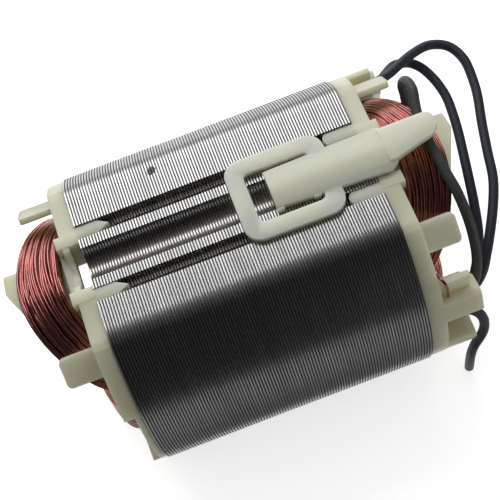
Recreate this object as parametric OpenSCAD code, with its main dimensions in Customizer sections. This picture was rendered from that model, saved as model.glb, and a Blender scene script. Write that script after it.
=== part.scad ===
// Wound two-pole stator of a universal motor: laminated stack, moulded end
// frames, two field coils, slot liners, a coil clip and black leads.
// Millimetres. X runs along the bore, towards the end with the leads.
// Z points through the pole with the clip. The origin is the bore's middle.

/* [Lamination stack] */
stack_length = 50; // [46:1:60]
sheet_count = 100; // [80:5:120]
outer_diameter = 53.5; // [53:0.5:55]
across_flats = 44.4; // [44:0.2:45.4]
corner_radius = 3.5; // [2:0.5:5]
bore_diameter = 30; // [29:0.1:30.4]
pole_arc = 137; // [136:0.5:140]
pole_neck_arc = 68; // [64:1:70]
pole_horn_thickness = 2.2; // [1.9:0.1:2.4]
slot_depth = 4; // [3.6:0.1:4.2]

/* [Recess in each flat] */
groove_spacing = 12.4; // [12:0.1:12.8]
groove_width = 2.6; // [2.2:0.1:2.8]
groove_depth = 3; // [2.4:0.1:3.2]
panel_drop = 0.2; // [0.1:0.05:0.4]
screw_channel_diameter = 6.4; // [5.6:0.1:6.6]
screw_channel_depth = 2.5; // [2:0.1:2.8]

/* [End frames] */
flange_thickness = 3; // [2.6:0.1:3.2]
flange_inset = 0.3; // [0.2:0.05:0.6]
tab_reach = 9.2; // [7:0.1:10]
tab_width = 5.2; // [4:0.1:5.4]
tab_thickness = 1.1; // [0.9:0.1:1.4]
tab_angle = 41; // [39:0.5:43]
front_fin_reach = 15.2; // [14:0.1:17]
rear_fin_reach = 16.2; // [14:0.1:17]
fin_width = 13.2; // [10:0.2:13.6]
fin_thickness = 1.5; // [1.2:0.1:1.6]
tongue_length = 5.7; // [4:0.1:5.9]
lip_reach = 4; // [3.4:0.1:4.2]
bridge_gap = 1.9; // [1.4:0.1:2.1]
bridge_thickness = 2.3; // [1.8:0.1:2.4]

/* [Lead guides] */
guide_reach = 9.7; // [9:0.1:10]
guide_wall_thickness = 1.4; // [1:0.1:1.5]
upper_ridge_width = 5.4; // [4.6:0.1:5.6]
lower_ridge_width = 4.6; // [3.8:0.1:4.8]
upright_wall_thickness = 1.1; // [0.9:0.1:1.3]
upright_wall_height = 13.6; // [12:0.1:14]

/* [Coils] */
liner_thickness = 0.25; // [0.15:0.05:0.35]
coil_inner_rise = 4.9; // [4.9:0.1:5.3]
upper_coil_rise = 12.9; // [12:0.1:13.4]
lower_coil_rear_rise = 11.3; // [10.4:0.1:12]
lower_coil_front_rise = 9.4; // [8.8:0.1:10]
coil_hollow = 2.2; // [1.8:0.1:2.4]
coil_swell = 0.45; // [0.2:0.05:0.6]
turns_across = 12; // [8:1:14]
turns_deep = 5; // [4:1:6]

/* [Coil clip] */
clip_start = 1.4; // [1:0.1:1.9]
clip_length = 17.5; // [16:0.1:17.6]
clip_bar = 3; // [2.5:0.1:3.1]
clip_thickness = 1; // [0.8:0.1:1.2]
clip_tongue_start = 7.7; // [6:0.1:9]
clip_tongue_width = 7.2; // [6:0.1:7.6]
clip_tongue_thickness = 1.9; // [1.6:0.1:2.2]
clip_arm_width = 6.4; // [5.6:0.1:6.8]
clip_arm_tip_width = 4.4; // [3.8:0.1:4.8]
clip_arm_thickness = 1.3; // [1:0.1:1.3]
clip_arm_reach = 12.4; // [11:0.1:13]

/* [Leads] */
lead_diameter = 1.9; // [1.6:0.1:2]

/* [Hidden] */
$fn = 72;

// Clearances and small margins
fit_clearance = 0.15;
coil_clearance = 0.05;
seat_clearance = 0.1;
overrun = 1;

// Stack
sheet_pitch = stack_length / sheet_count;
sheet_gap = 0.12;
sheet_edge_depth = 0.1;
stack_end = stack_length / 2;
flat_height = across_flats / 2;
bore_radius = bore_diameter / 2;
slot_inner_radius = bore_radius + pole_horn_thickness;
slot_outer_radius = slot_inner_radius + slot_depth;
horn_angle = pole_arc / 2;
neck_angle = pole_neck_arc / 2;
panel_height = flat_height - panel_drop;
channel_radius = screw_channel_diameter / 2;
channel_height = panel_height - screw_channel_depth + channel_radius;
groove_floor = flat_height - groove_depth;
panel_width = groove_spacing - groove_width;

// End frames
bore_cover = 0.35;
slot_cover = 0.25;
frame_inner_radius = bore_radius + bore_cover;
frame_outer_radius = outer_diameter / 2 - flange_inset;
yoke_ring_radius = slot_outer_radius - slot_cover;
pole_plate_angle = 27;
horn_wall_reach = 3.4;
horn_wall_margin = 0.5;
window_margin = 0.6;
window_width = panel_width - 2 * window_margin;
fin_offset = 0.6;
fin_square_width = 4.2;
fin_slope = 0.44;
tab_gap = 2.4;
tab_corner_radius = 0.9;
tongue_point = 2.2;
lip_overhang = 0.4;

// Lead guides, angles measured from the upper pole
guide_wall_setback = 1.7;
guide_wall_angles = [66, 108];
upper_ridge_angle = 73.5;
lower_ridge_angle = 105;
lower_ridge_setback = 1.1;
ridge_drop = 0.1;
ridge_corner_radius = 1;
upright_wall_place = 21.6;
upright_wall_foot = 6.6;
upright_wall_setback = 1.3;
guide_root = stack_end + flange_thickness / 2;
guide_end = stack_end + guide_reach;

// Coils
slot_lining = liner_thickness + 2 * coil_clearance;
coil_inner_radius = slot_inner_radius + slot_lining;
coil_outer_radius = slot_outer_radius - slot_lining;
tab_inner_radius = coil_outer_radius + tab_gap;
coil_start_angle = neck_angle + arc_angle(slot_lining, slot_inner_radius);
coil_end_margin = 0.5;
liner_end_margin = 1.5;
coil_end_angle = horn_angle - coil_end_margin;
liner_end_angle = horn_angle - liner_end_margin;
inner_squareness = 0.4;
outer_squareness = 0.75;
hollow_power = 1.3;
hollow_swing = 3;
spread_run = 3;
turn_relief = 0.15;
end_turn_steps = 16;

// Coil clip
clip_seat = flat_height + seat_clearance;
clip_overlap = 0.4;
clip_width = groove_spacing + groove_width + 2 * clip_overlap;
clip_ring_offset = -0.3;
clip_corner_radius = 3;
clip_window_radius = 1;
clip_foot_depth = 1.6;
clip_tongue_top = clip_seat + clip_tongue_thickness;
clip_tongue_flare = 0.8;
clip_tongue_crown = 1.2;
clip_shoulder_reach = 2.8;
clip_neck_reach = 4.2;
clip_shoulder = stack_end + clip_shoulder_reach;
clip_neck = stack_end + clip_neck_reach;
clip_arm_end = stack_end + clip_arm_reach;
clip_arm_corner = 1.4;
clip_stud_width = 1.2;
clip_stud_spacing = 6.4;

// Lead routes: far side of the lead end to the near side
outer_route = [
    [28.2, 19.4, 12.3], [31.4, 19.5, 12.3], [34, 19.8, 12.5], [36.6, 20.4, 12.6], [39.1, 21.7, 12.3],
    [42, 23.3, 11.6], [45.3, 24.5, 10.8], [47.6, 24.3, 10.3], [49.3, 23.4, 9.9], [50.4, 21.9, 9.5],
    [51.1, 19.4, 9], [51, 16.1, 8.3], [50.4, 12.4, 7.8], [48.9, 7, 7], [47.5, 1.3, 6.2],
    [46.4, -3.4, 5.5], [44.5, -7.7, 4.8], [42, -12.1, 4.2], [39.6, -15.8, 3.2], [38, -17.9, 2],
    [36, -19.2, 0.6], [33.4, -19.6, -0.6], [24, -19.6, -1]
];
inner_route = [
    [28.2, 20.5, 10.2], [31.4, 20.4, 10.2], [34, 20.5, 10.3], [36.3, 21.9, 10.6], [38.5, 23.3, 10.3],
    [40.9, 23.7, 9.2], [42.4, 23.2, 8.6], [43.6, 22.1, 8], [44.5, 20.5, 7.4], [45.2, 18.3, 6.9],
    [45.6, 15.4, 6.3], [45.4, 12.3, 5.8], [44.9, 8.6, 5.2], [44, 4.1, 4.5], [42.9, -1.1, 3.7],
    [41.9, -5.6, 2.7], [40.6, -10.4, 1], [38.6, -14.4, -1.2], [35.6, -17.8, -3.2], [31.5, -19.3, -4.1],
    [24, -19.3, -4.1]
];
coil_route = [
    [28.6, 9, 13.4], [31.6, 9.1, 13], [34.6, 9.7, 12.9], [36.2, 11.2, 14], [36.6, 12.7, 15.9],
    [36.5, 13.4, 17.9], [36.6, 13, 19.9], [36.8, 11.5, 21.5], [36.8, 9.3, 22.1], [36.3, 7.2, 21.7],
    [35.9, 5.2, 21.2], [35.7, 2.4, 20.8], [35.6, -1, 20.6], [35.8, -4.4, 20.3], [36.1, -7.2, 19.6],
    [36.5, -9.6, 18.6], [36.8, -11.8, 16.8], [37, -13.9, 14.6], [37, -15.9, 12.2], [36.8, -17.7, 9.6],
    [36.3, -19.1, 6.8], [35.5, -19.9, 4.6], [34, -19.8, 3.2], [31.8, -19.6, 2.3], [24, -19.6, 2]
];
tail_route = [
    [28.2, -23.5, 2.9], [31, -23.5, 2.9], [33, -23.8, 2.2], [34.4, -24.2, 0.6], [35.2, -24.5, -1.6],
    [35.5, -24.7, -4], [35.3, -24.9, -6.5], [34.6, -25, -9], [33.6, -25.1, -11.6], [33, -25.1, -15.6],
    [32.8, -25, -21.9]
];
lead_sides = 8;

// Small functions
function arc_angle(arc, radius) = arc / radius * 180 / PI;
function polar(radius, angle) = [radius * sin(angle), radius * cos(angle)];
function blend(a, b, share) = a + (b - a) * share;
function ease(share) = let (s = min(1, max(0, share))) s * s * (3 - 2 * s);
function unit(v) = v / norm(v);

// Extrudes a profile drawn in Y and Z along X.
module along_x(start, length) {
    translate([start, 0, 0])
        rotate([90, 0, 90])
            linear_extrude(length)
                children();
}

module at_both_poles() {
    for (turn = [0, 180])
        rotate([turn, 0, 0])
            children();
}

module profile_at_both_poles() {
    for (turn = [0, 180])
        rotate(turn)
            children();
}

// A wedge about the bore, with its angles measured from the upper pole.
module wedge(start_angle, end_angle) {
    reach = 2 * outer_diameter;
    middle = (start_angle + end_angle) / 2;
    polygon([
        [0, 0], polar(reach, start_angle), polar(reach, middle), polar(reach, end_angle)
    ]);
}

module ring_sector(inner_radius, outer_radius, start_angle, end_angle) {
    intersection() {
        difference() {
            circle(r = outer_radius);
            circle(r = inner_radius);
        }
        wedge(start_angle, end_angle);
    }
}

module rounded_rectangle(size, radius) {
    square([size.x - 2 * radius, size.y], center = true);
    square([size.x, size.y - 2 * radius], center = true);
    for (side = [-1, 1], edge = [-1, 1])
        translate([side * (size.x / 2 - radius), edge * (size.y / 2 - radius)])
            circle(r = radius);
}

// Lamination stack

// The round-bottomed groove on one side of a recess, grown by margin.
module groove_profile(edge, margin) {
    radius = groove_width / 2 + margin;
    floor_centre = groove_floor + groove_width / 2;
    translate([edge * groove_spacing / 2, floor_centre])
        circle(r = radius);
    translate([edge * groove_spacing / 2 - radius, floor_centre])
        square([2 * radius, groove_depth]);
}

// A round cut by two flats, with rounded corners between them.
module rounded_flats(inset) {
    round_radius = outer_diameter / 2;
    corner_z = flat_height - corner_radius;
    corner_y = sqrt(pow(round_radius - corner_radius, 2) - corner_z * corner_z);
    round_height = corner_z * round_radius / (round_radius - corner_radius);
    intersection() {
        circle(r = round_radius - inset);
        union() {
            square([2 * corner_y, across_flats - 2 * inset], center = true);
            square([outer_diameter, 2 * round_height], center = true);
        }
    }
    for (side = [-1, 1], pole = [-1, 1])
        translate([side * corner_y, pole * corner_z])
            circle(r = corner_radius - inset);
}

module sheet_outline(inset) {
    difference() {
        rounded_flats(inset);
        profile_at_both_poles() {
            for (edge = [-1, 1])
                groove_profile(edge, inset);
            translate([0, channel_height])
                circle(r = channel_radius + inset);
            translate([-panel_width / 2, panel_height - inset])
                square([panel_width, groove_depth]);
        }
    }
}

module slot_profile(side) {
    mirror([side < 0 ? 1 : 0, 0])
        union() {
            ring_sector(slot_inner_radius, slot_outer_radius, neck_angle, 180 - neck_angle);
            intersection() {
                circle(r = slot_inner_radius + slot_depth / 2);
                wedge(horn_angle, 180 - horn_angle);
            }
        }
}

module lamination_stack() {
    color("silver")
        difference() {
            union() {
                along_x(-stack_end, stack_length)
                    sheet_outline(sheet_edge_depth);
                for (sheet = [0 : sheet_count - 1])
                    along_x(-stack_end + sheet * sheet_pitch, sheet_pitch - sheet_gap)
                        sheet_outline(0);
            }
            along_x(-stack_end - overrun, stack_length + 2 * overrun)
                union() {
                    circle(r = bore_radius);
                    for (side = [-1, 1])
                        slot_profile(side);
                }
        }
}

// End frames, drawn at the lead end

// The stack's outline without the grooves, which the tongues fill.
module frame_outline() {
    difference() {
        rounded_flats(flange_inset);
        profile_at_both_poles()
            translate([0, channel_height])
                circle(r = channel_radius + flange_inset);
    }
}

module flange_profile() {
    difference() {
        frame_outline();
        circle(r = yoke_ring_radius);
    }
    profile_at_both_poles()
        intersection() {
            difference() {
                frame_outline();
                circle(r = frame_inner_radius);
            }
            wedge(-pole_plate_angle, pole_plate_angle);
        }
}

module horn_walls() {
    horn_wall_angle = horn_angle - horn_wall_margin;
    at_both_poles()
        along_x(stack_end, horn_wall_reach)
            ring_sector(frame_inner_radius, slot_inner_radius - slot_cover,
                        -horn_wall_angle, horn_wall_angle);
}

// The wall that keeps the end turn off the armature, cut away on one side.
module fin(reach) {
    near_edge = fin_offset - fin_width / 2;
    far_edge = fin_offset + fin_width / 2;
    square_edge = far_edge - fin_square_width;
    tip = stack_end + reach;
    intersection() {
        along_x(stack_end, reach)
            ring_sector(frame_inner_radius, frame_inner_radius + fin_thickness, -45, 45);
        linear_extrude(outer_diameter)
            polygon([
                [stack_end, near_edge],
                [tip - fin_slope * (square_edge - near_edge), near_edge],
                [tip, square_edge],
                [tip, far_edge],
                [stack_end, far_edge]
            ]);
    }
}

// A bar across the pole that stands off the stack and leaves a window.
module pole_bridge() {
    height = channel_height - channel_radius - flange_inset;
    translate([stack_end + bridge_gap, -panel_width / 2, frame_inner_radius])
        cube([bridge_thickness, panel_width, height - frame_inner_radius]);
}

module pole_window() {
    translate([stack_end - overrun, -window_width / 2, 0])
        cube([bridge_gap + overrun, window_width, outer_diameter]);
}

module coil_tab(angle) {
    length = tab_reach - tab_corner_radius;
    rotate([-angle, 0, 0])
        translate([stack_end, 0, tab_inner_radius])
            linear_extrude(tab_thickness)
                union() {
                    translate([0, -tab_width / 2])
                        square([length, tab_width]);
                    translate([tab_reach / 2, 0])
                        rounded_rectangle([tab_reach, tab_width], tab_corner_radius);
                }
}

// The tongue that enters a groove, with a pointed or a rounded tip.
module groove_tongue(edge, pointed) {
    centre = edge * groove_spacing / 2;
    half = groove_width / 2;
    tip = stack_end - tongue_length;
    root = stack_end + flange_thickness / 2;
    intersection() {
        along_x(tip, root - tip)
            intersection() {
                groove_profile(edge, -fit_clearance);
                square([outer_diameter, across_flats - 2 * flange_inset], center = true);
            }
        linear_extrude(outer_diameter)
            if (pointed)
                polygon([
                    [tip, centre],
                    [tip + tongue_point, centre - half],
                    [root, centre - half],
                    [root, centre + half],
                    [tip + tongue_point, centre + half]
                ]);
            else
                union() {
                    translate([tip + half, centre])
                        circle(r = half);
                    translate([tip + half, centre - half])
                        square([root - tip - half, groove_width]);
                }
    }
}

// The small lip at each end of the window that carries the bridge.
module window_lip(edge) {
    inner = window_width / 2;
    outer = groove_spacing / 2 + lip_overhang;
    translate([stack_end, edge > 0 ? inner : -outer, groove_floor])
        cube([lip_reach, outer - inner, panel_height - groove_floor]);
}

// The fin and the tabs stand at the upper pole alone.
module plain_end_frame(fin_reach, pointed) {
    difference() {
        union() {
            along_x(stack_end, flange_thickness)
                flange_profile();
            horn_walls();
            for (side = [-1, 1])
                coil_tab(side * tab_angle);
        }
        at_both_poles()
            pole_window();
    }
    fin(fin_reach);
    at_both_poles() {
        pole_bridge();
        for (edge = [-1, 1]) {
            groove_tongue(edge, pointed);
            window_lip(edge);
        }
    }
}

// Lead guides on the yokes of the lead end

// A thick rib along a yoke, rooted in the flange.
module guide_ridge(angle, width, setback) {
    foot = yoke_ring_radius + guide_wall_thickness / 2;
    crest = frame_outer_radius - ridge_drop;
    rotate([-angle, 0, 0])
        along_x(guide_root, guide_end - setback - guide_root)
            translate([0, (foot + crest) / 2])
                rounded_rectangle([width, crest - foot], ridge_corner_radius);
}

// The wall above the upper rib, upright in the motor.
module upright_wall() {
    along_x(guide_root, guide_end - upright_wall_setback - guide_root)
        translate([upright_wall_place, upright_wall_foot])
            square([upright_wall_thickness, upright_wall_height - upright_wall_foot]);
}

module lead_guide() {
    along_x(guide_root, guide_end - guide_wall_setback - guide_root)
        ring_sector(yoke_ring_radius, yoke_ring_radius + guide_wall_thickness,
                    guide_wall_angles[0], guide_wall_angles[1]);
    upright_wall();
    guide_ridge(upper_ridge_angle, upper_ridge_width, 0);
    guide_ridge(lower_ridge_angle, lower_ridge_width, lower_ridge_setback);
}

module front_end_frame() {
    color("ivory")
        mirror([1, 0, 0])
            plain_end_frame(front_fin_reach, true);
}

module rear_end_frame() {
    color("ivory") {
        plain_end_frame(rear_fin_reach, false);
        for (side = [0, 1])
            mirror([0, side, 0])
                lead_guide();
    }
}

// Coil clip

module clip_ring() {
    window_length = clip_length - 2 * clip_bar;
    window_width = clip_width - 2 * clip_bar;
    translate([clip_start + clip_length / 2, clip_ring_offset, clip_seat])
        linear_extrude(clip_thickness)
            difference() {
                rounded_rectangle([clip_length, clip_width], clip_corner_radius);
                rounded_rectangle([window_length, window_width], clip_window_radius);
            }
}

// Feet along the grooves and a keel in the screw channel hold the ring.
module clip_feet() {
    foot_length = clip_length - 2 * clip_corner_radius;
    for (edge = [-1, 1])
        along_x(clip_start + clip_corner_radius, foot_length)
            intersection() {
                groove_profile(edge, -fit_clearance);
                translate([-outer_diameter / 2, clip_seat - clip_foot_depth])
                    square([outer_diameter, clip_foot_depth + clip_thickness / 2]);
            }
    along_x(clip_start, clip_bar)
        intersection() {
            translate([0, channel_height])
                circle(r = channel_radius - fit_clearance);
            translate([-outer_diameter / 2, 0])
                square([outer_diameter, clip_seat + clip_thickness / 2]);
        }
}

module clip_tongue_plan() {
    half = clip_tongue_width / 2;
    wide = half + clip_tongue_flare;
    polygon([
        [clip_tongue_start, -half],
        [clip_shoulder, -wide],
        [clip_neck, -clip_arm_width / 2],
        [clip_neck, clip_arm_width / 2],
        [clip_shoulder, wide],
        [clip_tongue_start, half]
    ]);
}

// The raised tongue, with a crowned top.
module clip_tongue() {
    half = clip_tongue_width / 2 + clip_tongue_flare;
    crown_radius = (half * half + clip_tongue_crown * clip_tongue_crown) / (2 * clip_tongue_crown);
    intersection() {
        translate([0, 0, clip_seat])
            linear_extrude(clip_tongue_thickness)
                clip_tongue_plan();
        along_x(0, clip_arm_end)
            translate([0, clip_tongue_top - crown_radius])
                circle(r = crown_radius);
    }
}

module clip_studs() {
    for (reach = [clip_tongue_start, clip_tongue_start + clip_stud_spacing])
        translate([reach, -clip_tongue_width / 2 - clip_stud_width / 2, clip_seat])
            cube([clip_stud_width, clip_stud_width, clip_thickness]);
}

// The arm over the end turn: straight on one edge, tapered on the other.
module clip_arm() {
    straight = clip_arm_width / 2;
    tip_edge = straight - clip_arm_tip_width;
    corner = clip_arm_end - clip_arm_corner;
    translate([0, 0, clip_tongue_top - clip_arm_thickness])
        linear_extrude(clip_arm_thickness)
            union() {
                polygon([
                    [clip_shoulder, -straight],
                    [clip_neck, -straight],
                    [corner, tip_edge],
                    [clip_arm_end, tip_edge + clip_arm_corner],
                    [clip_arm_end, straight - clip_arm_corner],
                    [corner, straight],
                    [clip_shoulder, straight]
                ]);
                translate([corner, straight - clip_arm_corner])
                    circle(r = clip_arm_corner);
            }
}

module coil_clip() {
    color("linen") {
        clip_ring();
        clip_feet();
        clip_tongue();
        clip_studs();
        clip_arm();
    }
}

// Coils: share 0 is the innermost turn round the pole and share 1 the outermost

function turn_angle(share) = blend(coil_start_angle, coil_end_angle, share);
function turn_squareness(share) = blend(inner_squareness, outer_squareness, share);
function turn_height(share, swing, rise) =
    blend(coil_inner_rise, rise, share) * pow(max(0, cos(90 * swing)), turn_squareness(share));

// Beyond the flange the end turn is hollow in the middle and swells at its shoulders.
function spread_share(height) = ease((height - flange_thickness) / spread_run);
function outside_radius(share, height, swing) =
    let (middle = pow(max(0, cos(90 * swing)), hollow_swing))
    coil_outer_radius + spread_share(height) *
        (coil_swell * (1 - middle) - coil_hollow * pow(share, hollow_power) * middle);

function coil_point(end, rise, swing, share, depth, relief) =
    let (
        height = turn_height(share, swing, rise),
        radius = blend(coil_inner_radius, outside_radius(share, height, swing), depth) + relief,
        yz = polar(radius, turn_angle(share) * swing)
    )
    [end * (stack_end + height), yz.x, yz.y];

// Each side of the section is a row of half-round turns: crest, hollow, crest.
function section_sides() = concat(
    [for (i = [0 : 2 * turns_across]) [i / (2 * turns_across), 1, i % 2 == 0 ? -turn_relief : 0, 0]],
    [for (i = [1 : 2 * turns_deep - 1]) [1, 1 - i / (2 * turns_deep), 0, i % 2 == 0 ? -turn_relief : 0]],
    [for (i = [0 : 2 * turns_across]) [1 - i / (2 * turns_across), 0, i % 2 == 0 ? turn_relief : 0, 0]],
    [for (i = [1 : 2 * turns_deep - 1]) [0, i / (2 * turns_deep), 0, i % 2 == 0 ? turn_relief : 0]]
);

function coil_section(end, rise, swing) = [
    for (corner = section_sides())
        let (share = corner[0] + corner[3] / (rise - coil_inner_rise))
        coil_point(end, rise, swing, share, corner[1], corner[2])
];

// One end turn, from the far side to the near side at the lead end.
function end_turn(end, rise) = [
    for (i = [0 : end_turn_steps])
        coil_section(end, rise, end * sin(90 - 180 * i / end_turn_steps))
];

// Joins a list of equal rings to a closed loop or to a tube with flat ends.
module skin(rings, closed) {
    count = len(rings);
    sides = len(rings[0]);
    spans = closed ? count : count - 1;
    walls = [
        for (i = [0 : spans - 1], j = [0 : sides - 1])
            let (
                a = i * sides + j,
                b = i * sides + (j + 1) % sides,
                c = ((i + 1) % count) * sides + (j + 1) % sides,
                d = ((i + 1) % count) * sides + j
            )
            each [[a, b, c], [a, c, d]]
    ];
    caps = closed ? [] : [
        [for (j = [0 : sides - 1]) sides - 1 - j],
        [for (j = [0 : sides - 1]) (count - 1) * sides + j]
    ];
    polyhedron([for (r = rings) each r], concat(walls, caps));
}

module field_coil(rear_rise, front_rise) {
    skin(concat(end_turn(1, rear_rise), end_turn(-1, front_rise)), true);
}

module upper_coil() {
    color("indianred")
        field_coil(upper_coil_rise, upper_coil_rise);
}

module lower_coil() {
    color("firebrick")
        rotate([180, 0, 0])
            field_coil(lower_coil_rear_rise, lower_coil_front_rise);
}

// Slot liners

module liner_region(margin) {
    ring_sector(slot_inner_radius + coil_clearance + margin,
                slot_outer_radius - coil_clearance - margin,
                neck_angle + arc_angle(coil_clearance + margin, slot_inner_radius),
                margin > 0 ? horn_angle : liner_end_angle);
}

module slot_liner() {
    along_x(-stack_end + seat_clearance, stack_length - 2 * seat_clearance)
        difference() {
            liner_region(0);
            liner_region(liner_thickness);
        }
}

module upper_far_liner() {
    color("khaki")
        slot_liner();
}

module upper_near_liner() {
    color("khaki")
        mirror([0, 1, 0])
            slot_liner();
}

module lower_far_liner() {
    color("khaki")
        mirror([0, 0, 1])
            slot_liner();
}

module lower_near_liner() {
    color("khaki")
        rotate([180, 0, 0])
            slot_liner();
}

// Leads

function lead_way(route, i) =
    unit(route[min(i + 1, len(route) - 1)] - route[max(i - 1, 0)]);

// A ring of points square to the lead at one route point.
function lead_ring(route, i) =
    let (
        way = lead_way(route, i),
        side = unit(cross(way, abs(way.z) > 0.9 ? [1, 0, 0] : [0, 0, 1])),
        up = cross(side, way)
    )
    [
        for (k = [0 : lead_sides - 1])
            let (turn = 360 * k / lead_sides)
            route[i] + lead_diameter / 2 * (cos(turn) * side + sin(turn) * up)
    ];

module lead(route) {
    color("dimgray")
        skin([for (i = [0 : len(route) - 1]) lead_ring(route, i)], false);
}

module outer_lead() {
    lead(outer_route);
}

module inner_lead() {
    lead(inner_route);
}

module coil_lead() {
    lead(coil_route);
}

module tail_lead() {
    lead(tail_route);
}

lamination_stack();
front_end_frame();
rear_end_frame();
coil_clip();
upper_coil();
lower_coil();
upper_near_liner();
upper_far_liner();
lower_near_liner();
lower_far_liner();
outer_lead();
inner_lead();
coil_lead();
tail_lead();
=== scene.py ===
"""Looks of the wound stator: wire-wound coils, sleeved leads, materials, studio and camera."""

import math

import bpy
from mathutils import Matrix, Vector, noise


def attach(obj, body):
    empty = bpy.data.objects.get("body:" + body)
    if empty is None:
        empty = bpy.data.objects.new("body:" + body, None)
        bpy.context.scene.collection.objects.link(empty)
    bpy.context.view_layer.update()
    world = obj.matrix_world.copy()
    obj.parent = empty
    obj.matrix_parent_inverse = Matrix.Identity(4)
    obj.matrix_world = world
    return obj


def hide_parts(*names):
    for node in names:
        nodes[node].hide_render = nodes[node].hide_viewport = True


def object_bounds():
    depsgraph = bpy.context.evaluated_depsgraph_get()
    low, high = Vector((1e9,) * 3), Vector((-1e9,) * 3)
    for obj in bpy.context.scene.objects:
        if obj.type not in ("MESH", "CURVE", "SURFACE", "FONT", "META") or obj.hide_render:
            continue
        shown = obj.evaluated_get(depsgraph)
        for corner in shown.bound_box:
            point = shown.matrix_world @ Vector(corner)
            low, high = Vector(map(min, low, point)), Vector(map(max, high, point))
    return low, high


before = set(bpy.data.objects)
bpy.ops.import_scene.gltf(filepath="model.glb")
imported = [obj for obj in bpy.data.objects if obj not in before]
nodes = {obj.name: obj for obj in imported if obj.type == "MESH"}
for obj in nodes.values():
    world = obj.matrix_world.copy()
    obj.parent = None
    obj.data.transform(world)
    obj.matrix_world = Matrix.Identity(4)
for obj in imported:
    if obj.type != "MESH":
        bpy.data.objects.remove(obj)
cad_low, cad_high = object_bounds()
scene = bpy.context.scene

MM = 0.001
BODY = "root"


def metres(points):
    return [Vector(p) * MM for p in points]


def mesh_piece(name, vertices, faces):
    data = bpy.data.meshes.new(name)
    data.from_pydata(vertices, [], faces)
    data.validate()
    data.shade_smooth()
    piece = bpy.data.objects.new(name, data)
    scene.collection.objects.link(piece)
    return piece


def band_faces(first, rings, sides, closed):
    """Four-sided faces between neighbouring rings of points, of which the first has the given index."""
    faces = []
    for i in range(rings if closed else rings - 1):
        near = first + i * sides
        far = first + (i + 1) % rings * sides
        for k in range(sides):
            following = (k + 1) % sides
            faces.append((near + k, near + following, far + following, far + k))
    return faces


# Camera, fitted to the corners of the stack in the photo

IMAGE_PIXELS = 500
FOCAL_PIXELS = 1160.58
SENSOR_WIDTH = 36
CLIP_START = 5 * MM
CAMERA_PLACE = Vector((-2.897, -97.476, 187.699)) * MM
CAMERA_FORWARD = Vector((0.02155, 0.47313, -0.88073))
CAMERA_UP = Vector((0.35412, 0.82021, 0.44928))


def make_camera():
    data = bpy.data.cameras.new("camera")
    data.sensor_width = SENSOR_WIDTH
    data.lens = FOCAL_PIXELS / IMAGE_PIXELS * SENSOR_WIDTH
    data.clip_start = CLIP_START
    camera = bpy.data.objects.new("camera", data)
    back = -CAMERA_FORWARD.normalized()
    right = CAMERA_UP.cross(back).normalized()
    turn = Matrix((right, back.cross(right), back)).transposed()
    camera.matrix_world = Matrix.Translation(CAMERA_PLACE) @ turn.to_4x4()
    scene.collection.objects.link(camera)
    scene.camera = camera


make_camera()


# Leads, on the routes of the CAD solids, in millimetres

LEAD_DIAMETER = 1.8
LEAD_SIDES = 16
ROUTE_STEPS = 6
OUTER_ROUTE = [
    (28.2, 19.4, 12.3), (31.4, 19.5, 12.3), (34, 19.8, 12.5), (36.6, 20.4, 12.6), (39.1, 21.7, 12.3),
    (42, 23.3, 11.6), (45.3, 24.5, 10.8), (47.6, 24.3, 10.3), (49.3, 23.4, 9.9), (50.4, 21.9, 9.5),
    (51.1, 19.4, 9), (51, 16.1, 8.3), (50.4, 12.4, 7.8), (48.9, 7, 7), (47.5, 1.3, 6.2),
    (46.4, -3.4, 5.5), (44.5, -7.7, 4.8), (42, -12.1, 4.2), (39.6, -15.8, 3.2), (38, -17.9, 2),
    (36, -19.2, 0.6), (33.4, -19.6, -0.6), (24, -19.6, -1),
]
INNER_ROUTE = [
    (28.2, 20.5, 10.2), (31.4, 20.4, 10.2), (34, 20.5, 10.3), (36.3, 21.9, 10.6), (38.5, 23.3, 10.3),
    (40.9, 23.7, 9.2), (42.4, 23.2, 8.6), (43.6, 22.1, 8), (44.5, 20.5, 7.4), (45.2, 18.3, 6.9),
    (45.6, 15.4, 6.3), (45.4, 12.3, 5.8), (44.9, 8.6, 5.2), (44, 4.1, 4.5), (42.9, -1.1, 3.7),
    (41.9, -5.6, 2.7), (40.6, -10.4, 1), (38.6, -14.4, -1.2), (35.6, -17.8, -3.2), (31.5, -19.3, -4.1),
    (24, -19.3, -4.1),
]
COIL_ROUTE = [
    (28.6, 9, 13.4), (31.6, 9.1, 13), (34.6, 9.7, 12.9), (36.2, 11.2, 14), (36.6, 12.7, 15.9),
    (36.5, 13.4, 17.9), (36.6, 13, 19.9), (36.8, 11.5, 21.5), (36.8, 9.3, 22.1), (36.3, 7.2, 21.7),
    (35.9, 5.2, 21.2), (35.7, 2.4, 20.8), (35.6, -1, 20.6), (35.8, -4.4, 20.3), (36.1, -7.2, 19.6),
    (36.5, -9.6, 18.6), (36.8, -11.8, 16.8), (37, -13.9, 14.6), (37, -15.9, 12.2), (36.8, -17.7, 9.6),
    (36.3, -19.1, 6.8), (35.5, -19.9, 4.6), (34, -19.8, 3.2), (31.8, -19.6, 2.3), (24, -19.6, 2),
]
TAIL_ROUTE = [
    (28.2, -23.5, 2.9), (31, -23.5, 2.9), (33, -23.8, 2.2), (34.4, -24.2, 0.6), (35.2, -24.5, -1.6),
    (35.5, -24.7, -4), (35.3, -24.9, -6.5), (34.6, -25, -9), (33.6, -25.1, -11.6), (33, -25.1, -15.6),
    (32.8, -25, -21.9),
]


def smooth_path(points, steps):
    """Points along a smooth curve through the given points."""
    path = []
    last = len(points) - 1
    for i in range(last):
        before, start, end, after = (points[max(0, min(last, i + k))] for k in (-1, 0, 1, 2))
        for step in range(steps):
            t = step / steps
            path.append(0.5 * (
                2 * start
                + (end - before) * t
                + (2 * before - 5 * start + 4 * end - after) * t * t
                + (3 * start - before - 3 * end + after) * t * t * t
            ))
    path.append(points[last])
    return path


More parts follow.
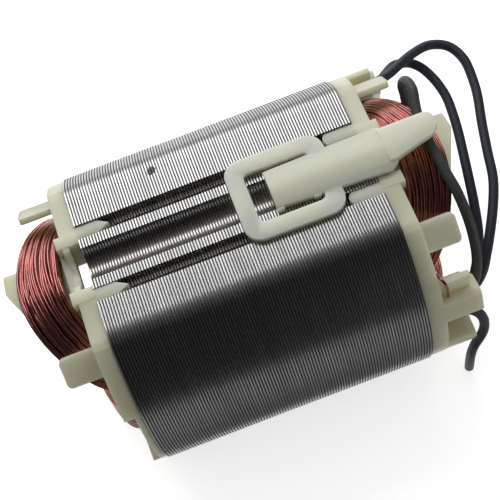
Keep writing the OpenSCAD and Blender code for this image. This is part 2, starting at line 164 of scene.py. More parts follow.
def tube_rings(path, radius, sides):
    """Rings of points square to an open path, carried along it without a twist."""
    rings = []
    last = len(path) - 1
    side = None
    for i, place in enumerate(path):
        way = (path[min(i + 1, last)] - path[max(i - 1, 0)]).normalized()
        if side is None:
            side = way.orthogonal()
        side = (side - way * side.dot(way)).normalized()
        up = way.cross(side)
        turns = (2 * math.pi * k / sides for k in range(sides))
        rings.append([place + radius * (math.cos(t) * side + math.sin(t) * up) for t in turns])
    return rings


def make_tube(name, path, diameter, sides):
    """A round tube along an open path, with flat ends of their own points."""
    rings = tube_rings(path, diameter / 2, sides)
    vertices = [point for ring in rings for point in ring]
    faces = band_faces(0, len(rings), sides, closed=False)
    for ring, order in ((rings[0], -1), (rings[-1], 1)):
        first = len(vertices)
        vertices.extend(ring)
        faces.append(tuple(range(first, first + sides))[::order])
    return mesh_piece(name, vertices, faces)


def make_lead(name, node, route):
    path = smooth_path(metres(route), ROUTE_STEPS)
    piece = make_tube(name, path, LEAD_DIAMETER * MM, LEAD_SIDES)
    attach(piece, BODY)
    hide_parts(node)
    return piece


outer_lead = make_lead("outer_lead_sleeve", "outer_lead", OUTER_ROUTE)
inner_lead = make_lead("inner_lead_sleeve", "inner_lead", INNER_ROUTE)
coil_lead = make_lead("coil_lead_sleeve", "coil_lead", COIL_ROUTE)
tail_lead = make_lead("tail_lead_sleeve", "tail_lead", TAIL_ROUTE)


# Coils, wound wire by wire over the shape of the CAD solids, in millimetres and degrees

STACK_END = 25
FLANGE_THICKNESS = 3
COIL_INNER_RADIUS = 17.55
COIL_OUTER_RADIUS = 20.85
COIL_START_ANGLE = 35.17
COIL_END_ANGLE = 68
COIL_INNER_RISE = 4.9
UPPER_COIL_RISE = 12.9
LOWER_COIL_REAR_RISE = 11.3
LOWER_COIL_FRONT_RISE = 9.4
COIL_HOLLOW = 2.2
COIL_SWELL = 0.45
INNER_SQUARENESS = 0.4
OUTER_SQUARENESS = 0.75
HOLLOW_POWER = 1.3
HOLLOW_SWING = 3
SPREAD_RUN = 3
WIRE_DIAMETER = 0.52
WIRE_SIDES = 8
END_TURN_STEPS = 44
WIRES_ACROSS = 17
WIRES_DEEP = 7
SECOND_LAYER = 0.13

# How far the wires stray, as shares of the section, and where each reads the noise for it

WIRE_WANDER = 0.07
WIRE_LIFT = 0.16
WIRE_SLANT = 0.1
WANDER_RATE = 1.6
WANDER_WIRE_STEP = 3.7
WANDER_END_STEP = 5.0
LIFT_OFFSET = Vector((0, 0, 40))
SLANT_WIRE_STEP = 1.3
SLANT_PLANE = 9
UPPER_SEED = 7
LOWER_SEED = 187

# Shade cores: dark fillings under the outer wires, which paint the shade seen in the gaps between the
# wires
SHADE_CORE_SHARE_INSET = 0.06
SHADE_CORE_DEPTH_INSET = 0.09
SHADE_CORE_STEPS = 8


def blend(a, b, share):
    return a + (b - a) * share


def ease(share):
    s = min(1, max(0, share))
    return s * s * (3 - 2 * s)


def coil_point(end, rise, swing, share, depth):
    """A point of the winding: share 0 is the innermost turn, depth 0 the side towards the bore."""
    middle = max(0, math.cos(math.pi / 2 * swing))
    squareness = blend(INNER_SQUARENESS, OUTER_SQUARENESS, share)
    height = blend(COIL_INNER_RISE, rise, share) * middle ** squareness
    hollow = COIL_HOLLOW * share ** HOLLOW_POWER * middle ** HOLLOW_SWING
    swell = COIL_SWELL * (1 - middle ** HOLLOW_SWING)
    spread = ease((height - FLANGE_THICKNESS) / SPREAD_RUN) * (swell - hollow)
    inside = COIL_INNER_RADIUS + WIRE_DIAMETER / 2
    outside = COIL_OUTER_RADIUS + spread - WIRE_DIAMETER / 2
    radius = blend(inside, outside, depth)
    angle = math.radians(blend(COIL_START_ANGLE, COIL_END_ANGLE, share) * swing)
    return Vector((end * (STACK_END + height), radius * math.sin(angle), radius * math.cos(angle)))


def wire_places():
    """The share and depth of each wire that can be seen: two layers, and the two ends of the section."""
    pitch = 1 / (WIRES_ACROSS - 1)
    outer = [(i * pitch, depth) for i in range(WIRES_ACROSS) for depth in (0, 1)]
    under = [
        ((i + 0.5) * pitch, depth)
        for i in range(WIRES_ACROSS - 1) for depth in (SECOND_LAYER, 1 - SECOND_LAYER)
    ]
    columns = [(share, i / (WIRES_DEEP - 1)) for i in range(1, WIRES_DEEP - 1) for share in (0, 1)]
    return outer + under + columns


def loop_steps(rises):
    """The end, rise and swing of each step round a coil, first the lead end and then the other."""
    for end, rise in zip((1, -1), rises):
        for step in range(END_TURN_STEPS + 1):
            yield end, rise, end * math.sin(math.pi / 2 - math.pi * step / END_TURN_STEPS)


def wire_path(rises, share, depth, seed):
    """One closed turn, which wanders and slants a little along the end turns."""
    path = []
    for end, rise, swing in loop_steps(rises):
        half_wire = WIRE_DIAMETER / 2 / (rise - COIL_INNER_RISE)
        loose = math.cos(math.pi / 2 * swing)
        where = Vector((swing * WANDER_RATE, seed * WANDER_WIRE_STEP, end * WANDER_END_STEP))
        tilt = noise.noise(Vector((seed * SLANT_WIRE_STEP, end, SLANT_PLANE)))
        slant = WIRE_SLANT * math.sin(math.pi * swing) * tilt
        drift = WIRE_WANDER * loose * noise.noise(where) + slant
        lift = WIRE_LIFT * loose * noise.noise(where + LIFT_OFFSET)
        placed = min(1 - half_wire, max(half_wire, share + drift))
        path.append(coil_point(end, rise, swing, placed, min(1, max(0, depth + lift))))
    return path


def loop_tube_points(path, radius, sides):
    """The points of a closed tube along a loop, in metres."""
    points = []
    count = len(path)
    for i, place in enumerate(path):
        way = (path[(i + 1) % count] - path[i - 1]).normalized()
        outward = Vector((0, place.y, place.z)).normalized()
        side = way.cross(outward).normalized()
        up = side.cross(way)
        for k in range(sides):
            turn = 2 * math.pi * k / sides
            points.append((place + radius * (math.cos(turn) * side + math.sin(turn) * up)) * MM)
    return points


def make_winding(name, node, rises, turned, seed):
    vertices = []
    faces = []
    for i, (share, depth) in enumerate(wire_places()):
        path = wire_path(rises, share, depth, seed + i)
        faces.extend(band_faces(len(vertices), len(path), WIRE_SIDES, closed=True))
        vertices.extend(loop_tube_points(path, WIRE_DIAMETER / 2, WIRE_SIDES))
    piece = mesh_piece(name, [turned @ v for v in vertices], faces)
    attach(piece, BODY)
    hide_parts(node)
    return piece


def shade_core_section(end, rise, swing):
    """The outline of the dark filling under the outer wires, which paints the shade in the gaps between
    them, at one step round a coil.
    """
    low, high = SHADE_CORE_SHARE_INSET, 1 - SHADE_CORE_SHARE_INSET
    across = [blend(low, high, i / SHADE_CORE_STEPS) for i in range(SHADE_CORE_STEPS + 1)]
    outside = [coil_point(end, rise, swing, share, 1 - SHADE_CORE_DEPTH_INSET) for share in across]
    inside = [coil_point(end, rise, swing, share, SHADE_CORE_DEPTH_INSET) for share in reversed(across)]
    return outside + inside


# A dark shell under the outer wires of a coil, painted shade for the gaps between the wires
def make_shade_core(name, rises, turned):
    rings = [shade_core_section(*step) for step in loop_steps(rises)]
    vertices = [turned @ point * MM for ring in rings for point in ring]
    inward_faces = band_faces(0, len(rings), len(rings[0]), closed=True)
    piece = mesh_piece(name, vertices, [(a, d, c, b) for a, b, c, d in inward_faces])
    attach(piece, BODY)
    return piece


UPPER_RISES = (UPPER_COIL_RISE, UPPER_COIL_RISE)
LOWER_RISES = (LOWER_COIL_REAR_RISE, LOWER_COIL_FRONT_RISE)
UPRIGHT = Matrix.Identity(3)
TURNED_OVER = Matrix.Rotation(math.pi, 3, "X")

windings = [
    make_winding("upper_coil_winding", "upper_coil", UPPER_RISES, UPRIGHT, UPPER_SEED),
    make_winding("lower_coil_winding", "lower_coil", LOWER_RISES, TURNED_OVER, LOWER_SEED),
]
# Dark fillings under the outer wires: painted shade in the gaps between them
shade_cores = [
    make_shade_core("upper_coil_shade_core", UPPER_RISES, UPRIGHT),
    make_shade_core("lower_coil_shade_core", LOWER_RISES, TURNED_OVER),
]


# The end of the winding wire, from the upper coil over the near upright wall, in millimetres

WINDING_END_ROUTE = [
    (28.9, -18.3, 9.6), (28.7, -19.2, 11.4), (28.4, -20.2, 13.2), (28.45, -21.4, 14.1),
    (28.8, -22.6, 14.3), (29.1, -23.1, 13.2), (29.2, -23.25, 11.6), (29.25, -23.3, 9.9),
]


def make_winding_end():
    path = smooth_path(metres(WINDING_END_ROUTE), ROUTE_STEPS)
    piece = make_tube("winding_end_wire", path, WIRE_DIAMETER * MM, WIRE_SIDES)
    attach(piece, BODY)
    return piece


winding_end = make_winding_end()


# Moulded pieces, copies of the CAD nodes with soft edges, in millimetres and degrees

EDGE_RADIUS = 0.22
EDGE_SEGMENTS = 2
EDGE_ANGLE = math.radians(40)
FLAT_ANGLE = math.radians(1)
MERGE_DISTANCE = 0.0005
RIM_THICKNESS = 1.2
RIM_ANGLES = (66, 114)
RIM_RADII = (20, 28)
RIM_STEPS = 8
CUT_REACH = 8
CUT_OVERRUN = 1
WINDOW_HALF_WIDTH = 4.3
WINDOW_DEPTH = 2.7
WINDOW_HEIGHTS = (12, 17.2)


def prism(name, outline, start, end):
    """A solid between two places along X, from an outline of Y and Z."""
    count = len(outline)
    vertices = [Vector((x, *point)) * MM for x in (start, end) for point in outline]
    ends = [tuple(range(count))[::-1], tuple(range(count, 2 * count))]
    return mesh_piece(name, vertices, ends + band_faces(0, 2, count, closed=False))


def rim_outline(side):
    """The sector of one yoke over which the front frame is thin."""
    angles = [math.radians(blend(*RIM_ANGLES, i / RIM_STEPS)) for i in range(RIM_STEPS + 1)]
    inner, outer = RIM_RADII
    arc = [(side * outer * math.sin(a), outer * math.cos(a)) for a in angles]
    back = [(side * inner * math.sin(a), inner * math.cos(a)) for a in reversed(angles)]
    return (arc + back)[::-side]


def front_cutters():
    """What the front frame leaves out: the thick rim over both yokes and the window's depth."""
    rim_face = -STACK_END - RIM_THICKNESS
    low, high = WINDOW_HEIGHTS
    half = WINDOW_HALF_WIDTH
    window = [(-half, low), (half, low), (half, high), (-half, high)]
    return [
        prism("near_rim_cut", rim_outline(-1), rim_face - CUT_REACH, rim_face),
        prism("far_rim_cut", rim_outline(1), rim_face - CUT_REACH, rim_face),
        prism("window_cut", window, -STACK_END - WINDOW_DEPTH, -STACK_END + CUT_OVERRUN),
    ]


def moulded(node, cutters=()):
    """Stands for a node: its shape less the cutters, with rounded edges."""
    piece = bpy.data.objects.new(node + "_moulding", nodes[node].data.copy())
    scene.collection.objects.link(piece)
    weld = piece.modifiers.new("joined_faces", "WELD")
    weld.merge_threshold = MERGE_DISTANCE * MM
    for cutter in cutters:
        cut = piece.modifiers.new(cutter.name, "BOOLEAN")
        cut.operation = "DIFFERENCE"
        cut.solver = "MANIFOLD"
        cut.object = cutter
    flat = piece.modifiers.new("whole_faces", "DECIMATE")
    flat.decimate_type = "DISSOLVE"
    flat.angle_limit = FLAT_ANGLE
    edge = piece.modifiers.new("soft_edges", "BEVEL")
    edge.width = EDGE_RADIUS * MM
    edge.segments = EDGE_SEGMENTS
    edge.limit_method = "ANGLE"
    edge.angle_limit = EDGE_ANGLE
    finished = piece.evaluated_get(bpy.context.evaluated_depsgraph_get())
    shaped = bpy.data.meshes.new_from_object(finished)
    piece.modifiers.clear()
    piece.data = shaped
    shaped.shade_smooth()
    shaped.set_sharp_from_angle(angle=EDGE_ANGLE)
    for cutter in cutters:
        bpy.data.objects.remove(cutter)
    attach(piece, BODY)
    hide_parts(node)
    return piece


front_frame = moulded("front_end_frame", front_cutters())
rear_frame = moulded("rear_end_frame")
clip = moulded("coil_clip")


# Materials

COARSE_DETAIL = 2
MEDIUM_DETAIL = 3
FINE_DETAIL = 4
EVEN = (1, 1, 1)


class Shader:
    """A material's node tree, with short calls to add and join nodes."""

    def __init__(self, name):
        self.material = bpy.data.materials.new(name)
        self.material.use_nodes = True
        self.tree = self.material.node_tree
        self.surface = self.tree.nodes["Principled BSDF"]
        self.place = self.tree.nodes.new("ShaderNodeTexCoord").outputs["Object"]

    def join(self, source, socket):
        self.tree.links.new(source, socket)

    def fill(self, socket, value):
        if isinstance(value, bpy.types.NodeSocket):
            self.join(value, socket)
        else:
            socket.default_value = value

    def noise(self, scale, detail, stretch=EVEN):
        mapping = self.tree.nodes.new("ShaderNodeMapping")
        mapping.inputs["Scale"].default_value = stretch
        self.join(self.place, mapping.inputs["Vector"])
        texture = self.tree.nodes.new("ShaderNodeTexNoise")
        texture.inputs["Scale"].default_value = scale
        texture.inputs["Detail"].default_value = detail
        self.join(mapping.outputs["Vector"], texture.inputs["Vector"])
        return texture.outputs["Fac"]

    def maths(self, operation, a, b=0.0):
        node = self.tree.nodes.new("ShaderNodeMath")
        node.operation = operation
        self.fill(node.inputs[0], a)
        self.fill(node.inputs[1], b)
        return node.outputs["Value"]

    def limit(self, value, low, high):
        return self.maths("MINIMUM", self.maths("MAXIMUM", value, low), high)

    def ramp(self, value, stops):
        node = self.tree.nodes.new("ShaderNodeValToRGB")
        elements = node.color_ramp.elements
        while len(elements) < len(stops):
            elements.new(0.5)
        for element, (position, colour) in zip(elements, stops):
            element.position = position
            element.color = (*colour, 1)
        self.join(value, node.inputs["Fac"])
        return node.outputs["Color"]

    def mix(self, share, a, b, way="MIX"):
        node = self.tree.nodes.new("ShaderNodeMix")
        node.data_type = "RGBA"
        node.blend_type = way
        self.fill(node.inputs["Factor"], share)
        self.fill(node.inputs["A"], a if isinstance(a, bpy.types.NodeSocket) else (*a, 1))
        self.fill(node.inputs["B"], b if isinstance(b, bpy.types.NodeSocket) else (*b, 1))
        return node.outputs["Result"]

    def span(self, value, low, high):
        """Maps 0 to 1 onto low to high."""
        node = self.tree.nodes.new("ShaderNodeMapRange")
        self.join(value, node.inputs["Value"])
        node.inputs["To Min"].default_value = low
        node.inputs["To Max"].default_value = high
        return node.outputs["Result"]

    def bump(self, height, distance, strength=1.0, normal=None):
        node = self.tree.nodes.new("ShaderNodeBump")
        if normal:
            self.join(normal, node.inputs["Normal"])
        node.inputs["Strength"].default_value = strength
        node.inputs["Distance"].default_value = distance
        self.join(height, node.inputs["Height"])
        self.join(node.outputs["Normal"], self.surface.inputs["Normal"])

    def set(self, **values):
        for name, value in values.items():
            socket = self.surface.inputs[name.replace("_", " ")]
            if isinstance(value, tuple) and len(value) == 3 and socket.type == "RGBA":
                value = (*value, 1)
            self.fill(socket, value)


# Steel of the stack

SHEET_PITCH = 0.5 * MM
FLAT_HEIGHT = 22.2 * MM
STACK_RADIUS = 26.74 * MM
OUTSIDE_REACH = 24 * MM
CORNER_ANGLE = math.acos(FLAT_HEIGHT / STACK_RADIUS)
CORNER_SOFTNESS = math.radians(5)
CORNER_REACH = 2 * CORNER_SOFTNESS
SIDE_FACING = 0.5
BURNISH_STOPS = [(0.0, (0.1, 0.1, 0.1)), (0.07, (1, 1, 1)), (0.46, (1, 1, 1)), (0.58, (0, 0, 0))]
DULL_SHEET = (0.43, 0.432, 0.43)
BRIGHT_SHEET = (0.54, 0.54, 0.535)
TORN_EDGE = (0.1, 0.098, 0.095)
STEEL_ROUGHNESS = (0.5, 0.26)
SMEAR_SCALE = 420
SMEAR_STRETCH = (1, 0.3, 0.3)
SMEAR_SHADES = (0.55, 1.15)
SMEAR_SHARE = 0.5
RECESS_HALF_WIDTH = 7.8 * MM
RECESS_FLOOR = 18.5 * MM
RECESS_EDGE = 21.9 * MM
RECESS_FADE = 1.6 * MM
RUST_COLOUR = (0.27, 0.19, 0.155)
RUST_SCALE = 350
RUST_STRETCH = (0.4, 1, 1)
RUST_SHARES = (0.0, 0.4)
NICK_PLACE = Vector((-9.6, 12.5, 22.2)) * MM
NICK_RADIUS = 1.2 * MM
NICK_COLOUR = (0.02, 0.019, 0.018)
NICK_RAGGED_SCALE = 1500
NICK_SPREAD = 1.3
NICK_SHARPNESS = 5.0
NICK_SHARE = 0.9
SCRATCH_SCALE = 1800
SCRATCH_STRETCH = (2, 0.15, 0.15)
SCRATCH_DEPTH = 0.03 * MM


def soft_corners(s, y, z):
    """The normal, eased across the four corners where the flats meet the round of the stack."""
    angle = s.maths("ARCTAN2", s.maths("ABSOLUTE", y), s.maths("ABSOLUTE", z))
    eased = s.tree.nodes.new("ShaderNodeMapRange")
    eased.interpolation_type = "SMOOTHSTEP"
    eased.inputs["From Min"].default_value = CORNER_ANGLE - CORNER_SOFTNESS
    eased.inputs["From Max"].default_value = CORNER_ANGLE + CORNER_SOFTNESS
    s.join(angle, eased.inputs["Value"])
    lean = s.maths("MULTIPLY", angle, eased.outputs["Result"])
    rounded = s.tree.nodes.new("ShaderNodeCombineXYZ")
    s.join(s.maths("MULTIPLY", s.maths("SINE", lean), s.maths("SIGN", y)), rounded.inputs["Y"])
    s.join(s.maths("MULTIPLY", s.maths("COSINE", lean), s.maths("SIGN", z)), rounded.inputs["Z"])
    placed = s.tree.nodes.new("ShaderNodeVectorTransform")
    placed.vector_type = "NORMAL"
    placed.convert_from = "OBJECT"
    placed.convert_to = "WORLD"
    s.join(rounded.outputs["Vector"], placed.inputs["Vector"])

    off_corner = s.maths("ABSOLUTE", s.maths("SUBTRACT", angle, CORNER_ANGLE))
    close = s.maths("LESS_THAN", off_corner, CORNER_REACH)
    reach = s.maths("SQRT", s.maths("ADD", s.maths("MULTIPLY", y, y), s.maths("MULTIPLY", z, z)))
    outside = s.maths("GREATER_THAN", reach, OUTSIDE_REACH)
    facing = s.tree.nodes.new("ShaderNodeSeparateXYZ")
    s.join(s.place.node.outputs["Normal"], facing.inputs["Vector"])
    edge = s.maths("LESS_THAN", s.maths("ABSOLUTE", facing.outputs["X"]), SIDE_FACING)
    chosen = s.tree.nodes.new("ShaderNodeMix")
    chosen.data_type = "VECTOR"
    s.join(s.maths("MULTIPLY", s.maths("MULTIPLY", close, outside), edge), chosen.inputs["Factor"])
    s.join(s.tree.nodes.new("ShaderNodeNewGeometry").outputs["Normal"], chosen.inputs["A"])
    s.join(placed.outputs["Vector"], chosen.inputs["B"])
    return chosen.outputs["Result"]


def sheet_edges(s, along, burnish):
    """The colour of the sheets: each differs a little, and is part burnished and part torn."""
    sheet = s.tree.nodes.new("ShaderNodeTexWhiteNoise")
    sheet.noise_dimensions = "1D"
    s.join(s.maths("FLOOR", along), sheet.inputs["W"])
    bright = s.mix(sheet.outputs["Value"], DULL_SHEET, BRIGHT_SHEET)
    smear = s.span(s.noise(SMEAR_SCALE, FINE_DETAIL, SMEAR_STRETCH), *SMEAR_SHADES)
    return s.mix(burnish, TORN_EDGE, s.mix(SMEAR_SHARE, bright, smear, "MULTIPLY"))


def recess_rust(s, y, z):
    """The share of brown stain, which lies in the recesses of both flats."""
    height = s.maths("ABSOLUTE", z)
    across = s.maths("LESS_THAN", s.maths("ABSOLUTE", y), RECESS_HALF_WIDTH)
    below = s.maths("DIVIDE", s.maths("SUBTRACT", RECESS_EDGE, height), RECESS_FADE)
    above = s.maths("GREATER_THAN", height, RECESS_FLOOR)
    recess = s.maths("MULTIPLY", s.maths("MULTIPLY", across, above), s.limit(below, 0.0, 1.0))
    patches = s.span(s.noise(RUST_SCALE, FINE_DETAIL, RUST_STRETCH), *RUST_SHARES)
    return s.maths("MULTIPLY", recess, patches)


def dark_nick(s):
    """The share of the small ragged dark mark on the upper flat."""
    reach = s.tree.nodes.new("ShaderNodeVectorMath")
    reach.operation = "DISTANCE"
    reach.inputs[1].default_value = NICK_PLACE
    s.join(s.place, reach.inputs[0])
    uneven = s.maths("MULTIPLY", s.noise(NICK_RAGGED_SCALE, COARSE_DETAIL), NICK_RADIUS)
    ragged = s.maths("ADD", reach.outputs["Value"], uneven)
    inside = s.maths("SUBTRACT", 1.0, s.maths("DIVIDE", ragged, NICK_RADIUS * NICK_SPREAD))
    return s.limit(s.maths("MULTIPLY", inside, NICK_SHARPNESS), 0.0, NICK_SHARE)


def steel():
    """Stamped sheet edges: each part burnished and part torn, stained brown in the recesses."""
    s = Shader("sheet_steel")
    split = s.tree.nodes.new("ShaderNodeSeparateXYZ")
    s.join(s.place, split.inputs["Vector"])
    x, y, z = split.outputs
    along = s.maths("DIVIDE", x, SHEET_PITCH)
    burnish = s.ramp(s.maths("FRACT", along), BURNISH_STOPS)
    stained = s.mix(recess_rust(s, y, z), sheet_edges(s, along, burnish), RUST_COLOUR)
    s.set(
        Base_Color=s.mix(dark_nick(s), stained, NICK_COLOUR),
        Metallic=1.0,
        Roughness=s.span(burnish, *STEEL_ROUGHNESS),
    )
    scratches = s.noise(SCRATCH_SCALE, COARSE_DETAIL, SCRATCH_STRETCH)
    s.bump(scratches, SCRATCH_DEPTH, normal=soft_corners(s, y, z))
    return s.material


# Nylon of the mouldings

PLASTIC_IOR = 1.5
CLOUD_SCALE = 70
CLOUD_SHARES = (0.0, 0.8)
NYLON_GLOSS_SCALE = 400
NYLON_ROUGHNESS = (0.26, 0.42)
NYLON_DEPTH_SHARE = 0.75
NYLON_DEPTH_COLOUR = (1.0, 0.9, 0.6)
NYLON_DEPTH = 5 * MM
NYLON_GRAIN_SCALE = 900
NYLON_GRAIN_DEPTH = 0.04 * MM
NYLON_GRAIN_STRENGTH = 0.5


def nylon(name, colour, deep):
    """Moulded, slightly translucent plastic with a faint cloudiness."""
    s = Shader(name)
    cloud = s.span(s.noise(CLOUD_SCALE, MEDIUM_DETAIL), *CLOUD_SHARES)
    s.set(
        Base_Color=s.mix(cloud, colour, deep),
        Roughness=s.span(s.noise(NYLON_GLOSS_SCALE, MEDIUM_DETAIL), *NYLON_ROUGHNESS),
        Subsurface_Weight=NYLON_DEPTH_SHARE,
        Subsurface_Radius=NYLON_DEPTH_COLOUR,
        Subsurface_Scale=NYLON_DEPTH,
        IOR=PLASTIC_IOR,
    )
    s.bump(s.noise(NYLON_GRAIN_SCALE, MEDIUM_DETAIL), NYLON_GRAIN_DEPTH, NYLON_GRAIN_STRENGTH)
    return s.material


# Copper of the windings

ENAMEL_SCALE = 300
ENAMEL_SHARE = 0.7
ENAMEL_ROUGHNESS = 0.08
COPPER_GLOSS_SCALE = 250
COPPER_ROUGHNESS = (0.1, 0.2)


def copper(name, thick, thin):
    """Enamelled wire, darker where the enamel is thick; with the near-black colours of the cores it is
    painted shade.
    """
    s = Shader(name)
    s.set(
        Base_Color=s.mix(s.noise(ENAMEL_SCALE, MEDIUM_DETAIL), thick, thin),
        Metallic=1.0,
        Roughness=s.span(s.noise(COPPER_GLOSS_SCALE, COARSE_DETAIL), *COPPER_ROUGHNESS),
        Coat_Weight=ENAMEL_SHARE,
        Coat_Roughness=ENAMEL_ROUGHNESS,
    )
    return s.material


# Sleeve of the leads

DUST_SCALE = 220
DUST_SHARES = (0.0, 0.8)
SLEEVE_GLOSS_SCALE = 500
SLEEVE_ROUGHNESS = (0.42, 0.6)
SLEEVE_GRAIN_SCALE = 1400
SLEEVE_GRAIN_DEPTH = 0.05 * MM
SLEEVE_GRAIN_STRENGTH = 0.5


def sleeve(name, colour, worn):
    """Satin black sleeve with a fine dusty surface."""
    s = Shader(name)
    dust = s.span(s.noise(DUST_SCALE, FINE_DETAIL), *DUST_SHARES)
    s.set(
        Base_Color=s.mix(dust, colour, worn),
        Roughness=s.span(s.noise(SLEEVE_GLOSS_SCALE, MEDIUM_DETAIL), *SLEEVE_ROUGHNESS),
        IOR=PLASTIC_IOR,
    )
    s.bump(s.noise(SLEEVE_GRAIN_SCALE, FINE_DETAIL), SLEEVE_GRAIN_DEPTH, SLEEVE_GRAIN_STRENGTH)
    return s.material


# Paper of the slot liners

FIBRE_SCALE = 500
FIBRE_STRETCH = (0.2, 1, 1)
FIBRE_DEPTH = 0.05 * MM
DARK_PAPER = (0.55, 0.45, 0.27)
LIGHT_PAPER = (0.74, 0.64, 0.44)
PAPER_ROUGHNESS = 0.85


def paper():
    """Pressed insulating paper."""
    s = Shader("slot_paper")
    fibre = s.noise(FIBRE_SCALE, FINE_DETAIL, FIBRE_STRETCH)
    s.set(Base_Color=s.mix(fibre, DARK_PAPER, LIGHT_PAPER), Roughness=PAPER_ROUGHNESS)
    s.bump(fibre, FIBRE_DEPTH)
    return s.material


# What each piece wears


def wear(material, *pieces):
    for piece in pieces:
        piece.data.materials.clear()
        piece.data.materials.append(material)


LINERS = ("upper_near_liner", "upper_far_liner", "lower_near_liner", "lower_far_liner")

frame_nylon = nylon("ivory_nylon", colour=(0.735, 0.73, 0.57), deep=(0.67, 0.645, 0.44))
clip_nylon = nylon("clip_nylon", colour=(0.8, 0.8, 0.63), deep=(0.76, 0.75, 0.54))
wire_copper = copper("enamelled_wire", thick=(0.22, 0.058, 0.054), thin=(0.56, 0.19, 0.16))
# Near-black copper for the cores: painted shade in the gaps between the wires
shade_core_copper = copper("painted_shade_core", thick=(0.05, 0.012, 0.01), thin=(0.09, 0.022, 0.018))
black_sleeve = sleeve("black_sleeve", colour=(0.018, 0.024, 0.036), worn=(0.036, 0.044, 0.06))
dusty_sleeve = sleeve("dusty_sleeve", colour=(0.034, 0.036, 0.039), worn=(0.085, 0.086, 0.088))

wear(steel(), nodes["lamination_stack"])
wear(paper(), *(nodes[name] for name in LINERS))
wear(frame_nylon, front_frame, rear_frame)
wear(clip_nylon, clip)
wear(wire_copper, *windings, winding_end)
# The cores wear painted shade
wear(shade_core_copper, *shade_cores)
wear(black_sleeve, outer_lead, inner_lead, tail_lead)
wear(dusty_sleeve, coil_lead)


# Studio: a white floor that keeps a soft shadow, panels of light and a dark camera side, in metres

FLOOR_HALF_SIZE = 3.0
FLOOR_SHADE = 0.85
FLOOR_GLOW = 0.7
AMBIENT_LIGHT = 0.53
STUDIO_ROUGHNESS = 0.9
WHITE = (1, 1, 1)


def white_rays(tree):
    """One for a ray that shows the background, straight or in a reflection."""
    rays = tree.nodes.new("ShaderNodeLightPath").outputs
    either = tree.nodes.new("ShaderNodeMath")
    either.operation = "MAXIMUM"
    tree.links.new(rays["Is Camera Ray"], either.inputs[0])
    tree.links.new(rays["Is Glossy Ray"], either.inputs[1])
    return either.outputs["Value"]


def make_sheet(name, corners):
    data = bpy.data.meshes.new(name)
    data.from_pydata(corners, [], [(0, 1, 2, 3)])
    sheet = bpy.data.objects.new(name, data)
    scene.collection.objects.link(sheet)
    return sheet


def make_floor():
    size = FLOOR_HALF_SIZE
    height = cad_low.z
    corners = [(-size, -size, height), (size, -size, height), (size, size, height), (-size, size, height)]
    s = Shader("white_floor")
    s.set(
        Base_Color=(FLOOR_SHADE, FLOOR_SHADE, FLOOR_SHADE),
        Roughness=STUDIO_ROUGHNESS,
        Emission_Color=WHITE,
        Emission_Strength=s.maths("MULTIPLY", white_rays(s.tree), FLOOR_GLOW),
    )
    wear(s.material, make_sheet("floor", corners))


def make_world():
    """White where it is seen, and a plain soft light otherwise."""
    world = bpy.data.worlds.new("studio")
    world.use_nodes = True
    tree = world.node_tree
    background = tree.nodes["Background"]
    background.inputs["Color"].default_value = (*WHITE, 1)
    level = tree.nodes.new("ShaderNodeMath")
    level.operation = "MAXIMUM"
    tree.links.new(white_rays(tree), level.inputs[0])
    level.inputs[1].default_value = AMBIENT_LIGHT
    tree.links.new(level.outputs["Value"], background.inputs["Strength"])
    scene.world = world


def make_card(name, corners, shade, shades_light=False):
    """A card that shows in reflections, and in soft light where asked, but never to the camera."""
    card = make_sheet(name, corners)
    card.visible_camera = False
    card.visible_diffuse = shades_light
    card.visible_transmission = False
    card.visible_shadow = False
    s = Shader(name)
    s.set(Base_Color=(shade, shade, shade), Roughness=STUDIO_ROUGHNESS)
    wear(s.material, card)


def make_panel(name, place, size, power):
    """A lamp that faces the middle of the object."""
    data = bpy.data.lights.new(name, "AREA")
    data.shape = "RECTANGLE"
    data.size, data.size_y = size
    data.energy = power
    lamp = bpy.data.objects.new(name, data)
    lamp.location = place
    lamp.rotation_mode = "QUATERNION"
    lamp.rotation_quaternion = (-Vector(place)).to_track_quat("-Z", "Y")
    scene.collection.objects.link(lamp)


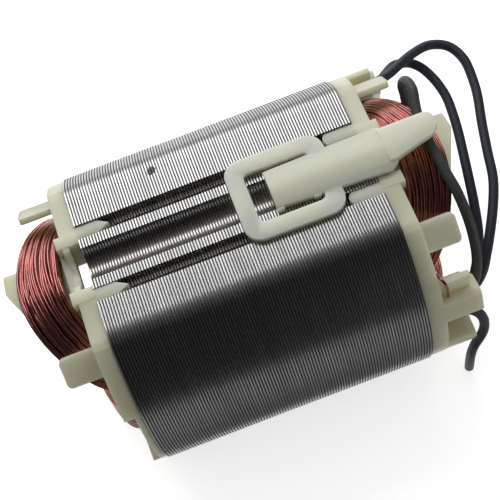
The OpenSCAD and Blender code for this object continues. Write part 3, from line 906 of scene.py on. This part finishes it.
CARD_HALF_WIDTH = 0.6
CARD_NEAR = -0.028
CARD_FAR = -0.125
CARD_LIFT = 0.0005
CEILING_FRONT = (-0.25, 0.5)
CEILING_BACK = (0.26, 0.55)
SIDE_PLACE = 0.25
SIDE_BACK = 0.5
CLOTH_BACK = 0.1
FRONT_CLOTH_SHADE = 0.7
FRONT_FLAG_SHADE = 0.02
CEILING_SHADE = 0.2
SIDE_FLAG_SHADE = 0.06
SIDE_CLOTH_SHADE = 0.32
BACK_PANEL_PLACE = (0, 0.5, 0.56)
BACK_PANEL_SIZE = (0.8, 0.5)
BACK_PANEL_POWER = 2.6
FRONT_PANEL_PLACE = (0.3, -0.36, 0.03)
FRONT_PANEL_SIZE = (0.2, 0.15)
FRONT_PANEL_POWER = 0.3

card_floor = cad_low.z + CARD_LIFT


def wide_corners(first, second):
    """The corners of a card across the whole width, between two places of Y and Z."""
    half = CARD_HALF_WIDTH
    return [(-half, *first), (half, *first), (half, *second), (-half, *second)]


def make_side_cards(side, edge, start):
    make_card(side + "_flag", [
        (edge, CARD_FAR, card_floor), (edge, SIDE_BACK, card_floor),
        (edge, SIDE_BACK, CEILING_BACK[1]), (edge, *CEILING_FRONT),
    ], SIDE_FLAG_SHADE)
    make_card(side + "_cloth", [
        (edge, CARD_NEAR, card_floor), (start, CARD_NEAR, card_floor),
        (start, CLOTH_BACK, card_floor), (edge, CLOTH_BACK, card_floor),
    ], SIDE_CLOTH_SHADE)


make_floor()
make_world()
cloth_far = (CARD_FAR, card_floor)
cloth_near = (CARD_NEAR, card_floor)
make_card("front_cloth", wide_corners(cloth_far, cloth_near), FRONT_CLOTH_SHADE)
make_card("front_flag", wide_corners(cloth_far, CEILING_FRONT), FRONT_FLAG_SHADE, shades_light=True)
make_card("ceiling_card", wide_corners(CEILING_FRONT, CEILING_BACK), CEILING_SHADE)
make_side_cards("left", -SIDE_PLACE, cad_low.x)
make_side_cards("right", SIDE_PLACE, cad_high.x)
make_panel("back_panel", BACK_PANEL_PLACE, BACK_PANEL_SIZE, BACK_PANEL_POWER)
make_panel("front_panel", FRONT_PANEL_PLACE, FRONT_PANEL_SIZE, FRONT_PANEL_POWER)

scene.view_settings.view_transform = "Standard"
